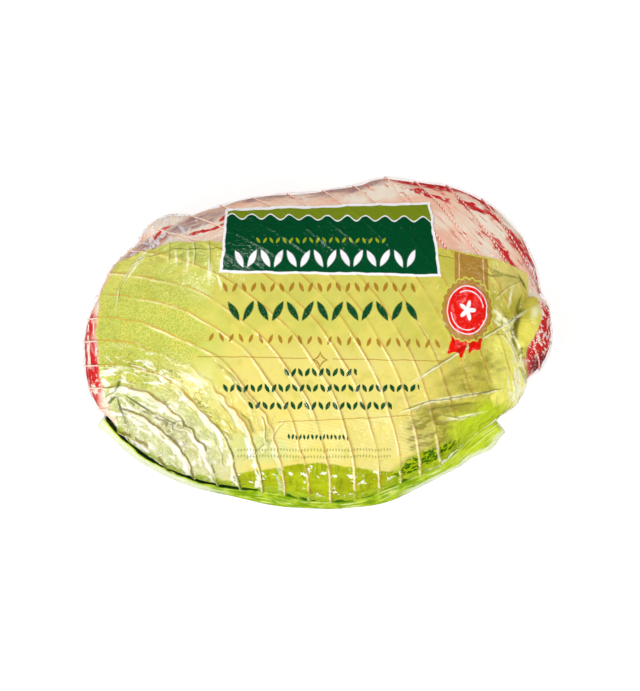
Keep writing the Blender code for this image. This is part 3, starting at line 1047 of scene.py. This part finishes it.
def rows_of_print(paint, x, y, colour, fine):
    """Ornament in gold and forest green, in the places and sizes of lines of words."""
    worn = paint.ramp(fine, 0.25, 0.45)

    def lay(mask, ink, colour):
        return paint.mix(mask * (0.75 + 0.25 * worn), colour, ink)

    colour = lay(sprigs(x, y, -47.5, 49, 27, 2.6, 4.6, 24, 0.36), GOLD, colour)
    colour = lay(sprigs(x, y, -45, 49.5, 15.4, 5.6, 7.27, 30, 0.30), FOREST, colour)
    tilted = y + x * 0.03
    colour = lay(sprigs(x, tilted, -54.4, 60.8, 1.0, 2.5, 4.8, -24, 0.34), GOLD, colour)
    rule = stroke(y + x * 0.02 + 7.9, 0.22) * span(x, -58.8, 62.2)
    colour = lay(rule * (1 - span(x, -5, 7)) * 0.8, GOLD, colour)
    star = abs(x - 1) ** 0.6 + abs(y + 8.6) ** 0.6
    colour = lay(stroke(star - 2.25, 0.28), GOLD, colour)
    for middle, start, end in ((-14.5, -17, 19), (-22.3, -47, 49.5), (-30.9, -34.3, 36.3)):
        colour = lay(sprigs(x, y, start, end, middle, 2.3, 3.4, 28, 0.42), FOREST, colour)
    second = stroke(y - x * 0.05 + 38, 0.2) * span(x, -19.6, 46)
    colour = lay(second * 0.8, GOLD, colour)
    colour = lay(sprigs(x, y, -15.2, 14.2, -46.3, 1.4, 1.9, 12, 0.42), FOREST, colour)
    for middle in (-52.7, -56.0):
        tiny = sprigs(x, y, -40, 36, middle, 0.9, 1.5, 10, 0.5)
        colour = lay(tiny * 0.55, linear(120, 130, 50), colour)
    return colour


def panel_print(paint, x, y, colour, cloud, fine):
    """A forest-green panel with a white edge, a moss band and a row of white leaves."""
    wave = (cloud - 0.5) * 2.4
    out = outside(x + wave, y + wave * 0.4, PANEL_CORNERS)
    inner = paint.mix(paint.ramp(fine, 0.62, 0.72) * 0.2, FOREST, linear(70, 120, 84))
    scallop = ((x * (math.pi / 9.4)).math("SINE") ** 2.0) * 2.6
    moss = printed(60.2 + scallop - y - x * 0.02)
    inner = paint.mix(moss, inner, MOSS)
    inner = paint.mix(stroke(60.2 + scallop - y - x * 0.02, 0.3), inner, PRINT_WHITE)
    inner = paint.mix(sprigs(x, y, -31, 34, 50, 1.7, 3.25, 30, 0.4), inner, linear(150, 164, 30))
    inner = paint.mix(sprigs(x, y, -42, 49, 41.2, 4.7, 6.5, 28, 0.32), inner, PRINT_WHITE)
    whole = printed(out)
    body = printed(out + PANEL_BORDER)
    colour = paint.mix(whole, colour, PRINT_WHITE)
    return paint.mix(body, colour, inner), whole


def seal_print(paint, x, y, colour, fine):
    """A ribbon and a rosette: red disc, white rings, gold toothed rim and red tails."""
    cx, cy = SEAL_CENTRE
    ribbon = outside(x, y, [(cx - 6.1, cy), (cx + 10.6, cy), (cx + 10.6, cy + 25), (cx - 6.1, cy + 29)])
    ribbon_mask = printed(ribbon)
    gold = paint.mix(fine, linear(156, 112, 38), linear(190, 148, 70))
    colour = paint.mix(ribbon_mask, colour, gold)
    lines = stroke(x - (cx - 3.8), 0.2).most(stroke(x - (cx + 8.3), 0.2))
    colour = paint.mix(lines * ribbon_mask, colour, linear(226, 206, 150))
    left = outside(x, y, [(cx - 9.8, cy - 21), (cx - 2.8, cy - 23.5), (cx + 1.8, cy - 11), (cx - 7, cy - 11)])
    right = outside(x, y, [(cx, cy - 11), (cx + 0.5, cy - 21.5), (cx + 6.8, cy - 19), (cx + 7.4, cy - 11)])
    notch = out_of_oval(x, y, (cx - 6.6, cy - 23.2), 2.6, 2.6).least(
        out_of_oval(x, y, (cx + 3.6, cy - 22.0), 2.4, 2.4))
    colour = paint.mix(printed(left.least(right).most(-notch)), colour, SEAL_RED)
    dx, dy = (x - cx) / SEAL_HALF[0], (y - cy) / SEAL_HALF[1]
    angle = paint.math("ARCTAN2", dy, dx)
    size = (dx * dx + dy * dy) ** 0.5
    tooth = (angle * SEAL_TEETH).math("SINE") * 0.035
    rim = (size - SEAL_RIM - tooth) * SEAL_HALF[0]
    colour = paint.mix(printed(rim - 0.7), colour, linear(206, 204, 80))
    colour = paint.mix(printed(rim), colour, gold)
    disc = (size - 1) * SEAL_HALF[0]
    colour = paint.mix(printed(disc), colour, SEAL_RED)
    colour = paint.mix(stroke(disc + 0.45, 0.22), colour, PRINT_WHITE)
    arcs = stroke((size - 0.78) * SEAL_HALF[0], 0.2)
    arcs = arcs * paint.ramp(abs((angle + 0.5).math("SINE")), 0.55, 0.6)
    colour = paint.mix(arcs, colour, PRINT_WHITE)
    petal = size * 2.6 - (angle * 5.0).math("COSINE") * 0.35 - 0.75
    colour = paint.mix(printed(petal * 3), colour, PRINT_WHITE)
    whole = printed(ribbon.least(left).least(right).least(rim - 0.7))
    return colour, whole


def film_paint():
    paint = Paint("shrink_film")
    spot = paint.node("ShaderNodeAttribute", {"attribute_name": "print_map"}, (), "Vector")
    x, y, _ = paint.parts(spot)
    forms = paint.node("ShaderNodeAttribute", {"attribute_name": "form_map"}, (), "Vector")
    place = paint.place()
    ox, oy, oz = place
    cloud = paint.grain(ox, oy, oz, 8, 2)
    fine = paint.grain(ox, oy, oz, 0.8, 2)
    x = x + (paint.grain(ox, oy, oz, 11, 2) - 0.5) * 1.4
    y = y + (paint.grain(oy, oz, ox, 11, 2) - 0.5) * 1.4
    rim, side, away = paint.parts(forms)
    gaps = paint.node("ShaderNodeAttribute", {"attribute_name": "crease_map"}, (), "Vector")
    gap, weight, _ = paint.parts(gaps)
    gap = gap + (cloud - 0.5) * 0.9 + (fine - 0.5) * 0.3
    out_x, out_y = ox - NET_CENTRE[0] / MM, oy - NET_CENTRE[1] / MM
    reach = (out_x * out_x + out_y * out_y) ** 0.5
    sweep = paint.math("ARCTAN2", out_y, out_x) * 20
    gathered = paint.grain(reach, sweep, oz * 0.3, 3.4, 3, 0.62, 0.8)
    pulled = paint.patch(ox + cloud * 8, oy, (-76, -36), (52, 34), -28, 0.4)
    pulled = pulled.most(paint.patch(ox, oy + cloud * 8, (-99, -26), (14, 14), 0, 0.5))
    colour, cover = film_ink(paint, x, y, (ox, oy, oz, reach, sweep), (rim, side, away, gap, weight), cloud, fine, gathered, pulled)
    colour = rows_of_print(paint, x, y, colour, fine)
    colour, panel = panel_print(paint, x, y, colour, cloud, fine)
    colour, seal = seal_print(paint, x, y, colour, fine)
    cover = cover.most(panel).most(seal)
    drawn = paint.grain(ox * 0.9 + oy * 0.5, oy * 0.25 - ox * 0.15, oz * 0.4, 2.6, 3, 0.6)
    # Painted glints: whitish streaks on the clear film at the top left, the left end and the right end.
    film_glints = paint.patch(ox, oy, (-84, 52), (38, 20), 28, 0.5)
    film_glints = film_glints.most(paint.patch(ox, oy, (-113, -8), (9, 44), 0, 0.5) * 0.3)
    film_glints = film_glints.most(paint.patch(ox, oy, (114, 20), (12, 40), 20, 0.5)) * paint.ramp(drawn, 0.54, 0.64)
    colour = paint.mix(paint.ramp(cover, 0.0, 0.3), PRINT_WHITE, colour)
    cover = cover.most(film_glints * 0.65)
    wrinkle = paint.grain(ox, oy, oz, 3.4, 3, 0.55, 0.6)
    crackle = paint.grain(ox * 0.5, oy, oz, 1.3, 2, 0.6)
    taut = paint.patch(ox, oy, (-4, 4), (86, 56), 0, 0.5)
    crest = (paint.fall(abs(gap), 0.0, 1.1)) * weight
    facets = paint.node("ShaderNodeTexVoronoi", {"feature": "DISTANCE_TO_EDGE"}, {
        "Vector": paint.joined(ox + wrinkle * 4, oy + cloud * 5, oz * 0.5), "Scale": 0.22})
    crumpled = pulled.most(paint.patch(ox + cloud * 6, oy, (88, -4), (26, 44), 12, 0.5))
    crumpled = crumpled.most(paint.patch(ox, oy + cloud * 4, (30, -70), (80, 13), 8, 0.5))
    crumpled = crumpled.most(paint.patch(ox + cloud * 4, oy, (-80, 50), (36, 20), 26, 0.5))
    relief = (wrinkle + crackle * 0.35) * (1.6 - 1.4 * taut) - gathered * pulled * 1.2
    relief = relief + crest * 1.6 + facets * crumpled * 2.4
    bump = paint.node("ShaderNodeBump", (), {"Strength": 0.6, "Distance": 0.7 * MM, "Height": relief})
    paint.set(Base_Color=colour, Roughness=0.08 + 0.12 * cloud, Normal=bump, IOR=1.5)
    paint.set(Specular_IOR_Level=0.24)
    gloss = paint.node("ShaderNodeBsdfGlossy", (), {"Color": (1, 1, 1), "Roughness": 0.06, "Normal": bump})
    clear = paint.node("ShaderNodeBsdfTransparent", (), {"Color": (1, 1, 1)})
    turned = paint.node("ShaderNodeLayerWeight", (), {"Blend": 0.5, "Normal": bump}, "Facing")
    sheen = turned ** 3.0 * 0.08 + 0.04
    film = paint.node("ShaderNodeMixShader", (), {0: sheen.clamped(), 1: clear, 2: gloss})
    ink = Value(paint, paint.shader.outputs[0])
    both = paint.node("ShaderNodeMixShader", (), {0: cover, 1: film, 2: ink})
    paint.feed(paint.end.inputs["Surface"], both)
    return paint.material


film = make_piece("film_bag", film_mesh(), film_paint())


# The hem: front and back film welded together below the leg's front edge and cut off in a
# wavy skirt, lime green with a clear rim. An ear of it stands out at either end.
HEM_STANDOFF = (
    (-162, 0.0), (-159, 7.6), (-156, 5.6), (-144, 5.4), (-122, 5.8), (-106, 7.4), (-90, 4.6),
    (-79, 4.4), (-62, 7.8), (-47, 6.2), (-38, 8.2), (-31, 12.4), (-26, 10.0), (-23, 0.0),
)
HEM_STEPS = 420
HEM_ROWS = 30
HEM_ROOT = 5 * MM
HEM_ROOT_HEIGHT = 26 * MM
HEM_EDGE_HEIGHT = 14 * MM
HEM_THICKNESS = 0.35 * MM
HEM_GREEN = linear(128, 164, 6)
HEM_YELLOW = linear(192, 210, 44)
HEM_PALE = linear(226, 234, 150)
# Painted shadow colour for the fold by the leg.
HEM_FOLD_SHADOW = linear(6, 28, 10)


def hem_standoff(degrees):
    bearings, standoffs = np.array(HEM_STANDOFF).T
    step = np.clip(np.searchsorted(bearings, degrees) - 1, 0, len(bearings) - 2)
    t = (degrees - bearings[step]) / (bearings[step + 1] - bearings[step])
    ease = t * t * (3 - 2 * t)
    return MM * (standoffs[step] + (standoffs[step + 1] - standoffs[step]) * ease)


def hem_mesh():
    strip = bmesh.new()
    bmesh.ops.create_grid(strip, x_segments=HEM_STEPS, y_segments=HEM_ROWS, size=1)
    mesh = bpy.data.meshes.new("bag_hem")
    strip.to_mesh(mesh)
    strip.free()
    flat = read_points(mesh)
    along, across = (flat[:, 0] + 1) / 2, (flat[:, 1] + 1) / 2
    degrees = HEM_STANDOFF[0][0] + (HEM_STANDOFF[-1][0] - HEM_STANDOFF[0][0]) * along
    degrees = np.clip(degrees, HEM_STANDOFF[0][0] + 0.01, HEM_STANDOFF[-1][0] - 0.01)
    bearing = np.radians(degrees)
    size = outline_radius(bearing) + (HEM_ROOT + hem_standoff(degrees)) * across - HEM_ROOT
    wave = 2.2 * MM * across * np.sin(2 * math.pi * 5 * along)
    height = HEM_ROOT_HEIGHT + (HEM_EDGE_HEIGHT - HEM_ROOT_HEIGHT) * across ** 1.4 + wave
    points = np.stack((size * np.cos(bearing), size * np.sin(bearing), height), axis=1)
    crumple = noise_at(points, 7 * MM, 40, 3) * 1.3 + noise_at(points, 2.5 * MM, 41, 2) * 0.4
    points[:, 2] += crumple * MM * across
    write_points(mesh, points)
    hem_map = mesh.attributes.new("hem_map", "FLOAT_VECTOR", "POINT")
    out = across * (HEM_ROOT + hem_standoff(degrees)) - HEM_ROOT
    spots = np.stack((out / MM, across, degrees), axis=1)
    hem_map.data.foreach_set("vector", spots.ravel())
    return mesh


def hem_paint():
    """Green ink that stops short of the clear rim, with painted shadow in the tight fold by the leg."""
    paint = Paint("welded_hem")
    spot = paint.node("ShaderNodeAttribute", {"attribute_name": "hem_map"}, (), "Vector")
    out, across, degrees = paint.parts(spot)
    ox, oy, oz = paint.place()
    cloud = paint.grain(ox, oy, oz, 6, 3)
    grooves = paint.grain(out * 1.0, degrees * 0.12, 0.0, 0.9, 3)
    ends = paint.ramp(abs(degrees + 92), 30, 62)
    colour = paint.mix(ends, HEM_GREEN, HEM_YELLOW)
    colour = paint.mix(paint.ramp(cloud, 0.4, 0.65) * 0.7, colour, HEM_YELLOW)
    colour = paint.mix(paint.ramp(grooves, 0.52, 0.66) * 0.7, colour, HEM_PALE)
    colour = paint.mix((paint.fall(grooves, 0.34, 0.46)) * 0.6, colour, linear(96, 130, 10))
    right = paint.ramp(degrees, -124, -108)
    # Painted shadow: a dark line in the tight fold where the hem meets the leg, black at the left and dark green
    # further right.
    fold_shadow = paint.fall(out + (cloud - 0.5) * 2.4 + right * 1.1, 1.5, 2.4)
    colour = paint.mix(fold_shadow * (1 - paint.ramp(degrees, -60, -46) * 0.7), colour,
                       paint.mix(right, HEM_FOLD_SHADOW, linear(48, 92, 4)))
    left = paint.fall(degrees, -138, -122)
    clear_rim = paint.ramp(across + (cloud - 0.5) * 0.16 + left * 0.10, 0.80, 0.88)
    middle = paint.ramp(degrees, -128, -116) * paint.fall(degrees, -66, -56)
    clear_rim = clear_rim * (1 - middle)
    colour = paint.mix(left * paint.ramp(out + (cloud - 0.5) * 2, 2.2, 3.4) * 0.75, colour, linear(238, 242, 196))
    wrinkle = paint.grain(ox, oy, oz, 3.6, 2)
    bump = paint.node("ShaderNodeBump", (), {"Strength": 0.7, "Distance": 0.6 * MM, "Height": wrinkle})
    paint.set(Base_Color=colour, Roughness=0.12 + 0.12 * cloud, Normal=bump, IOR=1.5)
    paint.set(Specular_IOR_Level=0.3)
    gloss = paint.node("ShaderNodeBsdfGlossy", (), {"Color": (1, 1, 1), "Roughness": 0.08, "Normal": bump})
    clear = paint.node("ShaderNodeBsdfTransparent", (), {"Color": (0.97, 1.0, 0.92)})
    turned = paint.node("ShaderNodeLayerWeight", (), {"Blend": 0.5, "Normal": bump}, "Facing")
    sheen = turned ** 4.0 * 0.35 + 0.05
    film = paint.node("ShaderNodeMixShader", (), {0: sheen.clamped(), 1: clear, 2: gloss})
    ink = Value(paint, paint.shader.outputs[0])
    both = paint.node("ShaderNodeMixShader", (), {0: 0.96 - 0.72 * clear_rim, 1: film, 2: ink})
    paint.feed(paint.end.inputs["Surface"], both)
    return paint.material


hem = make_piece("bag_hem", hem_mesh(), hem_paint())
weld = hem.modifiers.new("weld", "SOLIDIFY")
weld.thickness = HEM_THICKNESS
weld.offset = 0


# The studio: a flat floor that glows white, on which the pack lies, a broad white sky and four soft boxes.
CAMERA_HEIGHT = 2.4
VIEW_LENGTH = 0.3455
SENSOR = 36
VIEW_MIDDLE = (0.001, -0.0015)
FLOOR_SIZE = 2.5
SKY_STRENGTH = 0.44
FLOOR_GLOW = 0.7


def floor_paint():
    paint = Paint("studio_floor")
    x, y, z = paint.place()
    grain = paint.grain(x, y, z, 4, 2)
    paint.set(Base_Color=paint.mix(grain, (0.39, 0.39, 0.39), (0.41, 0.41, 0.41)), Roughness=0.7 + 0.1 * grain)
    paint.set(Emission_Color=(1, 1, 1), Emission_Strength=FLOOR_GLOW)
    return paint.material


floor_grid = bmesh.new()
bmesh.ops.create_grid(floor_grid, x_segments=2, y_segments=2, size=FLOOR_SIZE / 2)
floor_data = bpy.data.meshes.new("studio_floor")
floor_grid.to_mesh(floor_data)
floor_grid.free()
floor_data.materials.append(floor_paint())
floor = bpy.data.objects.new("studio_floor", floor_data)
bpy.context.scene.collection.objects.link(floor)
floor.visible_glossy = False


def soft_box(name, place, size, watts):
    """A square soft box that faces the pack."""
    light = bpy.data.lights.new(name, "AREA")
    light.size = size
    light.energy = watts
    lamp = bpy.data.objects.new(name, light)
    lamp.location = place
    lamp.rotation_euler = (Vector(place) - Vector((0, 0, 0.04))).to_track_quat("Z", "Y").to_euler()
    bpy.context.scene.collection.objects.link(lamp)


soft_box("front_left_box", (-0.75, -0.75, 0.95), 0.4, 12)
soft_box("front_box", (0.25, -1.0, 0.6), 0.25, 3)
soft_box("back_left_box", (-0.55, 0.8, 0.8), 0.3, 4.5)
soft_box("right_box", (1.0, 0.1, 0.7), 0.3, 4)

sky = bpy.data.worlds.new("white_sky")
sky.use_nodes = True
sky.node_tree.nodes["Background"].inputs["Color"].default_value = (1, 1, 1, 1)
sky.node_tree.nodes["Background"].inputs["Strength"].default_value = SKY_STRENGTH
bpy.context.scene.world = sky
sky.cycles_visibility.glossy = False

camera_data = bpy.data.cameras.new("camera")
camera_data.sensor_width = SENSOR
camera_data.lens = SENSOR * (CAMERA_HEIGHT - WIDEST_HEIGHT) / VIEW_LENGTH
camera_data.clip_end = 10
camera = bpy.data.objects.new("camera", camera_data)
camera.location = (*VIEW_MIDDLE, CAMERA_HEIGHT)
bpy.context.scene.collection.objects.link(camera)
bpy.context.scene.camera = camera
bpy.context.scene.view_settings.view_transform = "Standard"
